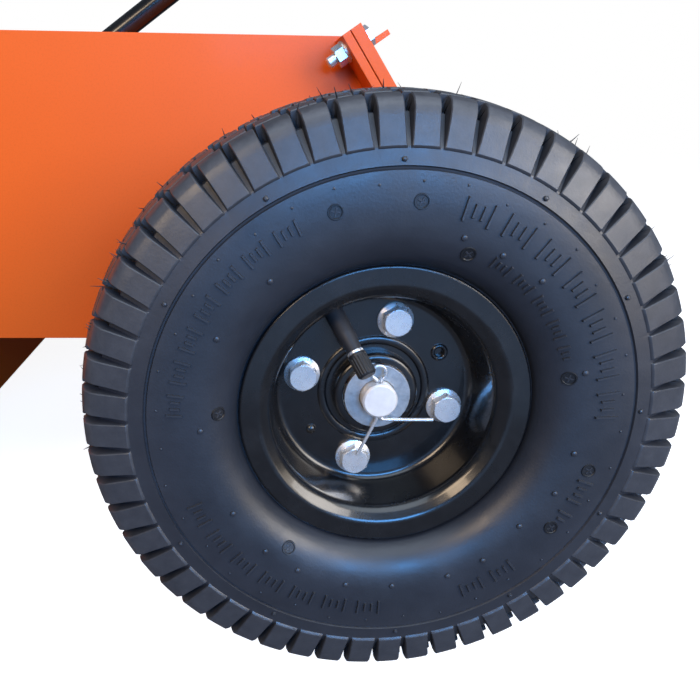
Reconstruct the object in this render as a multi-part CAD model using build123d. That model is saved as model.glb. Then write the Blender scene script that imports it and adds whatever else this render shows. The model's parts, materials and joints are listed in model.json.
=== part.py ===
"""Walk-behind brush mower: a steel deck with a direct-drive blade, an engine on top, two pneumatic
rear wheels on a dead axle, two front casters and a folding handlebar. Millimetres, +X forward,
+Y left, +Z up, on the ground z = 0, with the origin midway between the front of the casters and the
back of the grips."""

import os
from math import cos, hypot, pi, radians, sin, tan

from build123d import *

# ---- rear wheels -------------------------------------------------------------------------------------
TYRE_R = 133.0            # tread radius
TYRE_HALF_W = 40.0        # widest half width of the sidewall
SHOULDER_R = 127.6        # where the tread turns into the sidewall
SHOULDER_HALF_W = 33.0
RING_R = 102.0            # thin groove round each sidewall
RING_DROP = 1.6           # sidewall's widest face down to the groove
BULGE_R = 89.0            # radius at which the sidewall is widest
TYRE_WALL = 5.0
BEAD_R = 51.4             # tyre's hole
BEAD_TOE = 12.0           # bead's inner edge from the tyre's middle plane
TUBE_WALL = 2.0
TUBE_SLACK = 7.0          # room beside the inner tube
TUBE_GAP = 1.2            # inner tube to tyre
RIM_FLANGE_R = 63.5
RIM_HALF_W = 27.5         # wheel's middle plane to the outer face of the rim flange
RIM_SHEET = 1.8
HUB_PLATE_R = 46.0        # flat part of the rim disc
WELL_R = 49.0             # inside of the bead seat, near the flange
RIDGE_R = 24.2            # pressed ring round the hub
BEARING_R = 17.5
BEARING_W = 6.0
BEARING_LIP_R = 15.5
BEARING_Y = 0.4           # wheel's middle plane to each bearing
BEARING_PROUD = 1.9       # inner ring past the outer
BALL_COUNT = 9
WHEEL_BOLT_PCD = 69.4
WHEEL_BOLT_COUNT = 4
WHEEL_BOLT_PHASE = 13.2   # degrees from forward
WHEEL_BOLT_R = 4.0
WHEEL_BOLT_AF = 12.0
WHEEL_BOLT_FLANGE_R = 8.3
WHEEL_BOLT_HEAD = 6.4
DIMPLE_ANGLES = (148.2, -34.7)
VALVE_ANGLE = 61.1
VALVE_TILT = 36.0         # degrees the stem leans out of the wheel's plane
VALVE_R = 4.3
VALVE_LENGTH = 22.0       # rim wall to the end of the rubber
VALVE_CAP_R = 4.1
VALVE_CAP_LENGTH = 10.5
VALVE_CAP_FLUTES = 18

# ---- axle --------------------------------------------------------------------------------------------
AXLE_R = 7.94
AXLE_STUB = 17.0          # wheel's middle plane to the axle's end
AXLE_CHAMFER = 0.8
RUN_GAP = 0.06            # radial clearance of a running fit
TRACK = 740.0             # between the wheels' middle planes
WASHER_R = 15.0
WASHER_T = 2.0
AXLE_TUBE_R = 15.0
COTTER_WIRE_R = 0.8
COTTER_HOLE_R = 1.9
COTTER_EYE_HALF = 3.1     # half width of the eye, to the wire's middle
COTTER_OFFSET = 13.0      # wheel's middle plane to the pin
COTTER_TILT = 2.7         # degrees from vertical
COTTER_TIP_DOWN = (8, 11.5, -28.7)
COTTER_TIP_BACK = (-26, 12, -11)

# ---- chassis and deck --------------------------------------------------------------------------------
DECK_W = 540.0            # over the side plates
SIDE_T = 3.0
CHASSIS_TOP = 299.0
CHASSIS_BOTTOM = 127.6
DECK_TOP = 240.0
SKIRT_BOTTOM = 68.0
DECK_FRONT = 735.0        # ahead of the axle
REAR_TOP = 5.0            # top of the sloping rear seam, ahead of the axle
REAR_BOTTOM = -112.5
STEP_X = 235.0            # where the chassis top starts to drop to the deck
FLANGE_T = 4.5
FLANGE_W = 22.0
WALL_FLANGE_T = 6.0
SEAM_BOLT_R = 3.0
SEAM_BOLT_AF = 10.0
SEAM_FIRST = 7.5          # first bolt below the top of the seam
SEAM_PITCH = 54.0
SEAM_COUNT = 4
SEAM_GAP = 0.6            # between the two flanges
SEAM_BOLT_Y = 281.0
SEAM_WASHER_T = 1.5
SEAM_NUT_H = 5.0
SEAM_THREAD = 5.0         # bolt past its nut
LIP_REACH = 22.0          # stiffening flange across the back of the rear wall
LIP_BELOW = 13.5          # its lower face below the top of the seam
SKID_T = 6.0
HINGE_R = 5.0
GUARD_X, GUARD_Z = 722.0, 225.0   # front guard's hinge, ahead of the axle
GUARD_DROP = 116.0

# ---- front casters -----------------------------------------------------------------------------------
CASTER_R = 85.0
CASTER_HALF_W = 23.0
CASTER_TRAIL = 40.0
CASTER_PIVOT = 920.0      # ahead of the axle
CASTER_RIM_R = 52.0
CASTER_BOLT_R = 6.0
CASTER_Y = 215.0
STEM_R = 12.0
PIVOT_TUBE_R = 20.0
PIVOT_TUBE_Z = 192.0      # foot of the pivot tube
CROSS_X = 800.0           # cross beam, ahead of the axle
BEAM = 40.0               # square tube
BEAM_WALL = 3.0
FORK_T = 5.0
FORK_GAP = 4.0            # tyre to fork leg

# ---- engine and blade --------------------------------------------------------------------------------
BLADE_X = 480.0           # ahead of the axle
BLADE_R = 236.0
BLADE_W = 64.0
BLADE_T = 6.0
BLADE_Z = 96.0
CRANK_R = 12.7
CRANKCASE_R = 88.0
CRANKCASE_H = 90.0
BLOWER_R = 118.0
BLOWER_H = 72.0
SHEET = 2.5
FLYWHEEL_R = 92.0
TANK_L, TANK_W, TANK_H = 190.0, 84.0, 82.0
CAP_R = 22.0
CAP_NECK_R = 17.0
CAP_LOBES = 12
ENGINE_BOLT_SPREAD = 168.0
ENGINE_BOLT_R = 4.0
BARREL_L = 66.0
FIN_COUNT = 9
FLOOR_HOLE_R = 58.0       # opening in the cowl's floor, over the crankcase
DOME_R = 78.0
DOME_H = 22.0
AIR_SLOTS = 16
FAN_BLADES = 16
BLADE_HUB_R = 24.0
BLADE_BOLT_R = 7.5

# ---- handlebar ---------------------------------------------------------------------------------------
TUBE_R = 12.7
TUBE_T = 2.0
LOWER_Y = 222.0           # lower tubes from the middle
PIVOT_X, PIVOT_Z = 320.0, 276.0   # foot of the handlebar, ahead of the axle
FOLD_X = -140.0
BRACE_X = 60.0
KNEE_X = -560.0
CROSSBAR_X = -380.0
THROTTLE_X = -470.0
THROTTLE_PIN_R = 4.0
FOLD_BOLT_R = 4.0
KNOB_R = 19.0
KNOB_LOBES = 6
BRACKET_T = 4.0
BRACKET_BOLT_R = 4.0
LUG_T = 5.0
BAIL_X, BAIL_Z = -590.0, 966.0
BAIL_R = 4.0
BAIL_REACH = 150.0
BAIL_LIFT = 30.0
GRIP_RINGS = 10
HANDLE_SLOPE = 36.0       # degrees above level
GRIP_SLOPE = 18.8
GRIP_LENGTH = 118.0
GRIP_R = 16.5
REAR_REACH = 765.0        # axle to the back of the grips

FRONT_REACH = CASTER_PIVOT - CASTER_TRAIL + CASTER_R
AXLE_X = (REAR_REACH - FRONT_REACH) / 2
AXLE_Z = TYRE_R
WHEEL_Y = TRACK / 2
SIDE_Y = DECK_W / 2
INNER_Y = SIDE_Y - SIDE_T
UPPER_Y = LOWER_Y - 2 * TUBE_R - 2.0
TOUCH = 0.3               # clearance between moving faces


def box(x0, x1, y0, y1, z0, z1):
    """A box between two corners."""
    return Pos((x0 + x1) / 2, (y0 + y1) / 2, (z0 + z1) / 2) * Box(x1 - x0, y1 - y0, z1 - z0)


def rod(r, start, end):
    """A round bar from one point to another."""
    a, b = Vector(*start), Vector(*end)
    return extrude(Plane(origin=a, z_dir=b - a) * Circle(r), (b - a).length)


def hexagon(flats, start, end):
    """A hexagonal bar from one point to another."""
    a, b = Vector(*start), Vector(*end)
    outline = RegularPolygon(flats / 2, 6, major_radius=False)
    return extrude(Plane(origin=a, z_dir=b - a) * outline, (b - a).length)


def side_profile(points, y0, y1):
    """A plate whose outline lies in the XZ plane, from y0 to y1."""
    face = make_face(Polyline(*[(x, 0, z) for x, z in points], close=True))
    return Pos(0, y1, 0) * extrude(face, y1 - y0, dir=(0, -1, 0))


def bent_tube(points, radii, r_out, r_in=0.0):
    """A tube or bar along straight runs joined by arcs."""
    path = FilletPolyline(*points, radius=radii)
    start = Plane(origin=path @ 0, z_dir=path % 0)
    section = Circle(r_out) - Circle(r_in) if r_in else Circle(r_out)
    return sweep(start * section, path=path)


def both_sides(shape):
    """A shape and its mirror image across the machine's middle."""
    return [shape, mirror(shape, about=Plane.XZ)]


def group(shapes):
    """Separate solids kept as one node."""
    solids = [s for shape in shapes for s in (shape.solids() if hasattr(shape, "solids") else [shape])]
    return Compound(children=[Solid(s.wrapped) for s in solids])


def turned(profile):
    """A solid of revolution about Y from a face whose X is the radius."""
    return revolve(profile, axis=Axis.Y)


def turned_outline(*points):
    """A solid of revolution about Y from the corners of its section: radius, Y."""
    return turned(make_face(Polyline(*points, close=True)))


# ---- rear wheel, built about the origin with its outer side towards +Y -------------------------------
def tyre_half_outline():
    """Points and arcs of the tyre's section from the bead to the tread's middle: outside, then inside."""
    rim_back = RIM_HALF_W - RIM_SHEET - TOUCH
    ring_y = TYRE_HALF_W - RING_DROP
    outside = (
        Polyline((BEAD_R, BEAD_TOE), (BEAD_R, rim_back - 4.5), (BEAD_R + 4.8, rim_back),
                 (RIM_FLANGE_R, rim_back), (RIM_FLANGE_R + 1.2, rim_back + 1.5))
        + ThreePointArc((RIM_FLANGE_R + 1.2, rim_back + 1.5), (BULGE_R, TYRE_HALF_W), (RING_R - 0.8, ring_y))
        + Polyline((RING_R - 0.8, ring_y), (RING_R, ring_y - 1), (RING_R + 0.8, ring_y - 0.2))
        + ThreePointArc((RING_R + 0.8, ring_y - 0.2), (RING_R + 13, ring_y - 1.8),
                        (SHOULDER_R, SHOULDER_HALF_W))
        + TangentArc((TYRE_R, 0), (SHOULDER_R, SHOULDER_HALF_W), tangent=(0, 1))
    )
    wall = TYRE_WALL
    crown = TYRE_R - 2 * wall
    inside = (
        Line((TYRE_R, 0), (crown, 0))
        + ThreePointArc((crown, 0), (crown - wall, SHOULDER_HALF_W - 2 * wall),
                        (BULGE_R, TYRE_HALF_W - wall))
        + ThreePointArc((BULGE_R, TYRE_HALF_W - wall), (70, 25), (BEAD_R + 2.6, BEAD_TOE))
        + Line((BEAD_R + 2.6, BEAD_TOE), (BEAD_R, BEAD_TOE))
    )
    return make_face(outside + inside)


def tyre():
    half = turned(tyre_half_outline())
    return half + mirror(half, about=Plane.XZ)


def tube_ring(inset):
    """The ring that the inner tube fills, drawn in by inset all round."""
    low, high = BEAD_R + 4, TYRE_R - 2 * TYRE_WALL
    reach_r = (high - low) / 2 - TUBE_GAP - inset
    reach_y = TYRE_HALF_W - TYRE_WALL - TUBE_SLACK - inset
    return turned(Pos((low + high) / 2, 0) * Ellipse(reach_r, reach_y))


def inner_tube():
    return tube_ring(0) - tube_ring(TUBE_WALL)


def rim_half():
    """One pressed half of the rim: hub plate, bearing cup, bead seat and flange."""
    t, w = RIM_SHEET, RIM_HALF_W
    cup_r, cup_top = BEARING_R + 0.2, BEARING_Y + BEARING_W
    outline = Polyline(
        (cup_r, 0), (cup_r, cup_top), (BEARING_LIP_R, cup_top), (BEARING_LIP_R, cup_top + t),
        (cup_r + t, cup_top + t), (cup_r + t, t), (HUB_PLATE_R, t), (WELL_R, w - 4), (WELL_R + 5.5, w),
        (RIM_FLANGE_R, w), (RIM_FLANGE_R, w - t),
        (WELL_R + 5.5 + 0.6, w - t), (WELL_R + t, w - 4.6), (HUB_PLATE_R + t, 0), close=True,
    )
    face = make_face(outline)
    corners = {(cup_r + t, cup_top + t): 2.4, (HUB_PLATE_R, t): 3.5, (WELL_R, w - 4): 6.0,
               (WELL_R + 5.5, w): 3.5,
               (RIM_FLANGE_R, w): 1.2, (HUB_PLATE_R + t, 0): 3.0, (WELL_R + t, w - 4.6): 4.0}
    for (r, y), radius in corners.items():
        near = face.vertices().sort_by_distance((r, y, 0))[0]
        face = fillet(near, radius)
    disc = turned(face)
    disc += turned(Pos(RIDGE_R, t) * Ellipse(1.9, 0.9))
    for place in bolt_places():
        disc -= rod(WHEEL_BOLT_R + 0.3, (place[0], -1, place[1]), (place[0], t + 1, place[1]))
    return disc


def bolt_places():
    """X and Z of the wheel bolts about the hub."""
    step = 2 * pi / WHEEL_BOLT_COUNT
    r = WHEEL_BOLT_PCD / 2
    return [(r * cos(radians(WHEEL_BOLT_PHASE) + k * step), r * sin(radians(WHEEL_BOLT_PHASE) + k * step))
            for k in range(WHEEL_BOLT_COUNT)]


def valve_axis():
    """The point where the valve leaves the rim's wall and its direction, inwards and out of the wheel."""
    a, tilt = radians(VALVE_ANGLE), radians(VALVE_TILT)
    start = Vector(HUB_PLATE_R * cos(a), 7.5, HUB_PLATE_R * sin(a))
    inward = Vector(-cos(a) * cos(tilt), sin(tilt), -sin(a) * cos(tilt))
    return start, inward


def rim_outer():
    start, way = valve_axis()
    disc = rim_half() - rod(VALVE_R, start - way * 9, start + way * 3)
    r = WHEEL_BOLT_PCD / 2
    raised, hollow = ((r * cos(radians(a)), r * sin(radians(a))) for a in DIMPLE_ANGLES)
    disc += Pos(raised[0], RIM_SHEET, raised[1]) * (Rot(90, 0, 0) * (Torus(3.0, 0.9)))
    disc -= rod(2.1, (raised[0], -1, raised[1]), (raised[0], RIM_SHEET + 2, raised[1]))
    disc += Pos(hollow[0], RIM_SHEET - 1.2, hollow[1]) * Sphere(2.6)
    return disc & box(-200, 200, 0, 100, -200, 200)


def rim_inner():
    start, way = valve_axis()
    return mirror(rim_half(), about=Plane.XZ) - rod(VALVE_R + 0.6, start - way * 22, start)


def flange_bolt(x, z):
    """A flanged hexagon bolt through both rim plates, head outwards, with its nut."""
    t = RIM_SHEET
    head = hexagon(WHEEL_BOLT_AF, (x, t, z), (x, t + WHEEL_BOLT_HEAD, z))
    flats, high = WHEEL_BOLT_AF / 2, WHEEL_BOLT_HEAD
    corner = flats * 1.2
    bevel = turned_outline((0, 0), (corner, 0), (corner, high - 1.2), (flats, high), (0, high))
    skirt = turned_outline((0, 0), (WHEEL_BOLT_FLANGE_R, 0), (WHEEL_BOLT_FLANGE_R, 0.9), (flats, 2), (0, 2))
    head = (head & Pos(x, t, z) * bevel) + Pos(x, t, z) * skirt
    shank = rod(WHEEL_BOLT_R, (x, -t - 9, z), (x, t + 1, z))
    nut = hexagon(WHEEL_BOLT_AF + 1, (x, -t - 6.5, z), (x, -t, z))
    nut -= rod(WHEEL_BOLT_R, (x, -t - 7, z), (x, 0, z))
    return [head + shank, nut]


def rim_bolts():
    return group([s for x, z in bolt_places() for s in flange_bolt(x, z)])


def bearing():
    """A ball bearing: outer ring, inner ring that stands proud, and balls."""
    race = 2.6
    bore = AXLE_R + RUN_GAP
    y0, y1 = BEARING_Y, BEARING_Y + BEARING_W
    groove_r, ball_r = (BEARING_R + bore + 1.2) / 2, 2.2
    outer = rod(BEARING_R, (0, y0, 0), (0, y1, 0)) - rod(BEARING_R - race, (0, y0 - 1, 0), (0, y1 + 1, 0))
    inner = rod(bore + race, (0, y0, 0), (0, y1 + BEARING_PROUD, 0))
    inner -= rod(bore, (0, y0 - 1, 0), (0, y1 + 3, 0))
    middle = (y0 + y1) / 2
    track = Pos(0, middle, 0) * Rot(90, 0, 0) * Torus(groove_r, ball_r)
    turns = [2 * pi * k / BALL_COUNT for k in range(BALL_COUNT)]
    balls = [Pos(groove_r * cos(a), middle, groove_r * sin(a)) * Sphere(ball_r - 0.05) for a in turns]
    return [outer - track, inner - track, *balls]


def wheel_bearings():
    one = bearing()
    return group(one + [mirror(s, about=Plane.XZ) for s in one])


def valve_stem():
    start, way = valve_axis()
    base, neck, tip = start - way * 9.5, start + way * VALVE_LENGTH * 0.62, start + way * VALVE_LENGTH
    foot = extrude(Plane(origin=base, z_dir=way) * Circle(VALVE_R), (neck - base).length)
    wide, narrow = Circle(VALVE_R), Circle(VALVE_R - 0.9)
    cone = loft([Plane(origin=neck, z_dir=way) * wide, Plane(origin=tip, z_dir=way) * narrow])
    collar = rod(3.2, tip, tip + way * 1.6)
    thread = rod(2.6, tip, tip + way * (VALVE_CAP_LENGTH - 3))
    return foot + cone + collar + thread - tube_ring(0)


def valve_cap():
    start, way = valve_axis()
    foot = start + way * (VALVE_LENGTH + 1.8)
    cap = rod(VALVE_CAP_R, foot, foot + way * VALVE_CAP_LENGTH)
    rims = cap.edges().filter_by(GeomType.CIRCLE)
    cap = chamfer(rims.sort_by(lambda e: -(e.center() - foot).length)[0], 0.9)
    plane = Plane(origin=foot, z_dir=way)
    for k in range(VALVE_CAP_FLUTES):
        a = 2 * pi * k / VALVE_CAP_FLUTES
        spot = foot + (plane.x_dir * cos(a) + plane.y_dir * sin(a)) * (VALVE_CAP_R + 0.12)
        cap -= rod(0.42, spot + way * 1.4, spot + way * (VALVE_CAP_LENGTH + 1))
    return cap - rod(2.7, foot - way, foot + way * (VALVE_CAP_LENGTH - 3.5))


# ---- axle --------------------------------------------------------------------------------------------
def hub_reach():
    """Wheel's middle plane to the outer face of a bearing's inner ring."""
    return BEARING_Y + BEARING_W + BEARING_PROUD


def cotter_line():
    """Unit vector up the cotter pin's straight legs."""
    return Vector(sin(radians(COTTER_TILT)), 0, cos(radians(COTTER_TILT)))


def at_both_wheels(shape):
    """A piece of the left wheel's end of the axle, and its mirror image at the right."""
    return both_sides(Pos(0, WHEEL_Y, AXLE_Z) * shape)


def axle_rod():
    end = WHEEL_Y + AXLE_STUB
    bar = rod(AXLE_R, (0, -end, AXLE_Z), (0, end, AXLE_Z))
    bar = chamfer(bar.edges().filter_by(GeomType.CIRCLE), AXLE_CHAMFER)
    way = cotter_line() * 2 * AXLE_R
    middle = Vector(0, WHEEL_Y + COTTER_OFFSET, AXLE_Z)
    for hole in both_sides(rod(COTTER_HOLE_R, middle - way, middle + way)):
        bar -= hole
    return bar


def axle_tube():
    end = WHEEL_Y - hub_reach() - TOUCH
    tube = rod(AXLE_TUBE_R, (0, -end, AXLE_Z), (0, end, AXLE_Z))
    return tube - rod(AXLE_R + RUN_GAP, (0, -end - 1, AXLE_Z), (0, end + 1, AXLE_Z))


def axle_washers():
    y = hub_reach() + TOUCH
    ring = rod(WASHER_R, (0, y, 0), (0, y + WASHER_T, 0)) - rod(AXLE_R + TOUCH, (0, y - 1, 0), (0, y + 9, 0))
    return group(at_both_wheels(ring))


def cotter_pins():
    """One bent wire: a tip, up through the axle, round the eye, back down and out to the other tip."""
    way, r, half = cotter_line(), COTTER_WIRE_R, COTTER_EYE_HALF
    across = Vector(way.Z, 0, -way.X)
    neck, low, high = AXLE_R + 0.8, AXLE_R + 2.8, AXLE_R + 7.6
    wire = [(r + 0.05, -AXLE_R - 2.4), (r + 0.05, neck), (half, low), (half, high)]
    wire += [(-a, h) for a, h in reversed(wire)]
    path = [Vector(0, COTTER_OFFSET, 0) + across * a + way * h for a, h in wire]
    points = [COTTER_TIP_DOWN, *[tuple(p) for p in path], COTTER_TIP_BACK]
    bends = [2, 1.2, 2, half - 0.1]
    return group(at_both_wheels(bent_tube(points, bends + bends[::-1], r)))


# ---- chassis and deck --------------------------------------------------------------------------------
def seam_length():
    return hypot(REAR_TOP - REAR_BOTTOM, CHASSIS_TOP - CHASSIS_BOTTOM)


def seam_place():
    """Plane on the sloping rear seam: X up the slope, Y left, Z rearward out of the seam."""
    along = Vector(REAR_TOP - REAR_BOTTOM, 0, CHASSIS_TOP - CHASSIS_BOTTOM).normalized()
    return Plane(origin=(REAR_BOTTOM, 0, CHASSIS_BOTTOM), x_dir=along, z_dir=(-along.Z, 0, along.X))


def seam_holes():
    """Distances up the seam of its bolts."""
    return [seam_length() - SEAM_FIRST - k * SEAM_PITCH for k in range(SEAM_COUNT)]


def seam_bore(shape):
    """The seam's bolt holes cut through a flange."""
    for u in seam_holes():
        for y in (SEAM_BOLT_Y, -SEAM_BOLT_Y):
            place = seam_place()
            foot, top = place.from_local_coords((u, y, -50)), place.from_local_coords((u, y, 50))
            shape -= rod(SEAM_BOLT_R + 0.2, foot, top)
    return shape


def side_outline():
    lobe, drop = AXLE_TUBE_R + 20, AXLE_TUBE_R + 17
    return [
        (REAR_BOTTOM, CHASSIS_BOTTOM), (REAR_TOP, CHASSIS_TOP), (STEP_X, CHASSIS_TOP),
        (STEP_X + CHASSIS_TOP - DECK_TOP, DECK_TOP), (DECK_FRONT, DECK_TOP), (DECK_FRONT, SKIRT_BOTTOM),
        (STEP_X, SKIRT_BOTTOM), (STEP_X - 30, CHASSIS_BOTTOM), (2 * lobe, CHASSIS_BOTTOM),
        (lobe, AXLE_Z - drop),
        (-lobe, AXLE_Z - drop), (-2 * lobe, CHASSIS_BOTTOM),
    ]


def side_plate():
    plate = side_profile(side_outline(), INNER_Y, SIDE_Y)
    plate -= seam_place() * box(-50, seam_length() + 50, 0, 400, -SEAM_GAP / 2, 50)
    front = -SEAM_GAP / 2
    plate += seam_place() * box(0, seam_length(), INNER_Y, SIDE_Y + FLANGE_W, front - FLANGE_T, front)
    plate -= rod(AXLE_TUBE_R, (0, 0, AXLE_Z), (0, 400, AXLE_Z))
    plate -= rod(HINGE_R, (GUARD_X, 0, GUARD_Z), (GUARD_X, 400, GUARD_Z))
    return seam_bore(plate)


def rear_wall():
    back = SEAM_GAP / 2
    reach = SIDE_Y + FLANGE_W
    wall = box(0, seam_length(), -reach, reach, back, back + SIDE_T)
    for y0, y1 in ((INNER_Y - 8, reach), (-reach, 8 - INNER_Y)):
        wall += box(0, seam_length(), y0, y1, back, back + WALL_FLANGE_T)
    foot = seam_length() - LIP_BELOW
    wall += box(foot, foot + SIDE_T, -SIDE_Y, SIDE_Y, back, back + LIP_REACH)
    return seam_bore(seam_place() * wall)


def seam_bolt(u, y):
    """Bolt from behind the seam with its nut and washer in front, in the seam's own axes."""
    back, front = SEAM_GAP / 2 + WALL_FLANGE_T, -SEAM_GAP / 2 - FLANGE_T
    end = front - SEAM_WASHER_T - SEAM_NUT_H - SEAM_THREAD
    bolt = rod(SEAM_BOLT_R, (u, y, end), (u, y, back))
    bolt += hexagon(SEAM_BOLT_AF, (u, y, back), (u, y, back + 4))
    bolt = chamfer(bolt.edges().filter_by(GeomType.CIRCLE).sort_by(Axis.Z)[0], 0.7)
    nut = hexagon(SEAM_BOLT_AF, (u, y, front - SEAM_WASHER_T), (u, y, front - SEAM_WASHER_T - SEAM_NUT_H))
    nut += rod(SEAM_BOLT_AF * 0.62, (u, y, front), (u, y, front - SEAM_WASHER_T))
    nut -= rod(SEAM_BOLT_R, (u, y, front + 1), (u, y, end))
    return seam_place() * bolt, seam_place() * nut


def seam_hardware(which):
    return group([seam_bolt(u, y)[which] for u in seam_holes() for y in (SEAM_BOLT_Y, -SEAM_BOLT_Y)])


def deck_top():
    """The bent top sheet with the baffle behind the blade chamber and the handlebar's brackets."""
    t, drop = SIDE_T, CHASSIS_TOP - DECK_TOP
    outer = [(REAR_TOP, CHASSIS_TOP), (STEP_X, CHASSIS_TOP), (STEP_X + drop, DECK_TOP),
             (DECK_FRONT, DECK_TOP)]
    bend = t * tan(radians(22.5))
    inner = [(DECK_FRONT, DECK_TOP - t), (STEP_X + drop - bend, DECK_TOP - t),
             (STEP_X - bend, CHASSIS_TOP - t),
             (REAR_TOP - t * (REAR_TOP - REAR_BOTTOM) / (CHASSIS_TOP - CHASSIS_BOTTOM), CHASSIS_TOP - t)]
    deck = side_profile(outer + inner, -INNER_Y, INNER_Y)
    deck += box(STEP_X - t, STEP_X, -INNER_Y, INNER_Y, SKIRT_BOTTOM, CHASSIS_TOP - t)
    deck += box(DECK_FRONT - t, DECK_FRONT, -INNER_Y, INNER_Y, DECK_TOP - 4, DECK_TOP - t)
    for y in (LOWER_Y, -LOWER_Y):
        for side in (1, -1):
            inside, outside = y + side * (TUBE_R + 0.1), y + side * (TUBE_R + 0.1 + BRACKET_T)
            ear = side_profile(bracket_outline(), min(inside, outside), max(inside, outside))
            deck += ear
        deck -= rod(BRACKET_BOLT_R + RUN_GAP, (PIVOT_X, y - 40, PIVOT_Z), (PIVOT_X, y + 40, PIVOT_Z))
    deck -= rod(BLADE_HUB_R + 4, (BLADE_X, 0, DECK_TOP - 20), (BLADE_X, 0, DECK_TOP + 20))
    for x, y in engine_bolt_places():
        deck -= rod(ENGINE_BOLT_R + 0.2, (x, y, DECK_TOP - 20), (x, y, DECK_TOP + 1))
    return deck


def bracket_outline():
    top = PIVOT_Z + 14
    return [(PIVOT_X - 30, DECK_TOP), (PIVOT_X - 16, top), (PIVOT_X + 16, top), (PIVOT_X + 30, DECK_TOP)]


def skid_shoes():
    """An angle under the edge of each side plate, turned up at both ends."""
    x0, x1, low = STEP_X + 14, DECK_FRONT - 4, SKIRT_BOTTOM - SKID_T
    outline = [(x0, SKIRT_BOTTOM), (x0 + 20, low), (x1 - 26, low), (x1, SKIRT_BOTTOM)]
    foot = side_profile(outline, INNER_Y - 18, SIDE_Y + 5)
    web = box(x0 + 10, x1 - 10, SIDE_Y, SIDE_Y + 5, SKIRT_BOTTOM, SKIRT_BOTTOM + 32)
    return group(both_sides(foot + web))


def front_guard():
    """A hanging flap with three knuckles round its hinge rod."""
    half = INNER_Y - 6
    low = GUARD_Z - GUARD_DROP
    flap = box(GUARD_X - 1.5, GUARD_X + 1.5, -half, half, low, GUARD_Z - HINGE_R - 1)
    flap += rod(5, (GUARD_X, -half, low), (GUARD_X, half, low))
    knuckle = 60.0
    for y in (-half, -knuckle / 2, half - knuckle):
        flap += rod(HINGE_R + 3, (GUARD_X, y, GUARD_Z), (GUARD_X, y + knuckle, GUARD_Z))
    return flap - rod(HINGE_R + RUN_GAP, (GUARD_X, -400, GUARD_Z), (GUARD_X, 400, GUARD_Z))


def front_hinge_rod():
    return rod(HINGE_R, (GUARD_X, -SIDE_Y - 4, GUARD_Z), (GUARD_X, SIDE_Y + 4, GUARD_Z))


# ---- front frame and casters -------------------------------------------------------------------------
def square_tube(x0, x1, y, along_x=True):
    """A square tube lying on the deck, along X at y, or along Y at x0 from -y to y."""
    h, w, z = BEAM / 2, BEAM_WALL, DECK_TOP
    if along_x:
        hollow = box(x0 - 1, x1 + 1, y - h + w, y + h - w, z + w, z + BEAM - w)
        return box(x0, x1, y - h, y + h, z, z + BEAM) - hollow
    return box(x0, x1, -y, y, z, z + BEAM) - box(x0 + w, x1 - w, -y - 1, y + 1, z + w, z + BEAM - w)


def caster_frame():
    """Two beams on the deck, a cross beam ahead of it, and the casters' pivot tubes."""
    back, front = PIVOT_X + 70, CASTER_PIVOT - PIVOT_TUBE_R + 6
    frame = square_tube(back, front, CASTER_Y) + square_tube(back, front, -CASTER_Y)
    frame += square_tube(CROSS_X, CROSS_X + BEAM, CASTER_Y - BEAM / 2, along_x=False)
    for y in (CASTER_Y, -CASTER_Y):
        foot, top = (CASTER_PIVOT, y, PIVOT_TUBE_Z), (CASTER_PIVOT, y, DECK_TOP + BEAM + 6)
        frame += rod(PIVOT_TUBE_R, foot, top)
        frame -= rod(STEM_R + RUN_GAP, (CASTER_PIVOT, y, 0), (CASTER_PIVOT, y, 400))
    return frame


def caster_fork():
    """Fork, stem with its top collar, and the wheel's bolt, about the pivot line at y = 0."""
    inner = CASTER_HALF_W + FORK_GAP
    crown, hub_x, hub_z = PIVOT_TUBE_Z - TOUCH, -CASTER_TRAIL, CASTER_R
    leg = side_profile([(22, crown), (22, crown - 20), (hub_x + 15, hub_z - 12), (hub_x, hub_z - 18),
                        (hub_x - 15, hub_z - 12), (-34, crown - 20), (-34, crown)], inner, inner + FORK_T)
    fork = leg + mirror(leg, about=Plane.XZ) + box(-34, 22, -inner, inner, crown - 6, crown)
    top = DECK_TOP + BEAM + 6 + TOUCH
    fork += rod(STEM_R, (0, 0, crown - 3), (0, 0, top + 12)) + rod(STEM_R + 6, (0, 0, top), (0, 0, top + 7))
    fork -= rod(CASTER_BOLT_R, (hub_x, -60, hub_z), (hub_x, 60, hub_z))
    reach = inner + FORK_T
    bolt = rod(CASTER_BOLT_R, (hub_x, -reach - 12, hub_z), (hub_x, reach, hub_z))
    bolt += hexagon(18, (hub_x, reach, hub_z), (hub_x, reach + 7, hub_z))
    nut = hexagon(18, (hub_x, -reach - 9, hub_z), (hub_x, -reach, hub_z))
    nut -= rod(CASTER_BOLT_R, (hub_x, -reach - 20, hub_z), (hub_x, 0, hub_z))
    return [fork, bolt, nut]


def caster_rim():
    """Dished hub and rim, turned about its own axis."""
    half, hub = CASTER_HALF_W + 1, 17.0
    bore, edge = CASTER_BOLT_R + RUN_GAP, CASTER_RIM_R
    return turned_outline((bore, -half), (hub, -half), (hub, -5), (edge - 7, -5),
                          (edge - 7, -18), (edge, -18),
                          (edge, 18), (edge - 7, 18), (edge - 7, 5), (hub, 5), (hub, half), (bore, half))


def caster_tyre():
    r, w, bore = CASTER_R, CASTER_HALF_W, CASTER_RIM_R + 0.1
    side = w - 3
    section = make_face(Polyline((r - 12, side), (bore, side - 3), (bore, 3 - side), (r - 12, -side))
                        + ThreePointArc((r - 12, -side), (r, 0), (r - 12, side)))
    ring = turned(section)
    for y in (-7, 0, 7):
        ring -= turned_outline((r - 4, y - 1), (r + 5, y - 1), (r + 5, y + 1), (r - 4, y + 1))
    return ring


# ---- engine ------------------------------------------------------------------------------------------
def engine_bolt_places():
    d = ENGINE_BOLT_SPREAD / 2
    return [(BLADE_X + sx * d, sy * d) for sx in (-1, 1) for sy in (-1, 1)]


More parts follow.
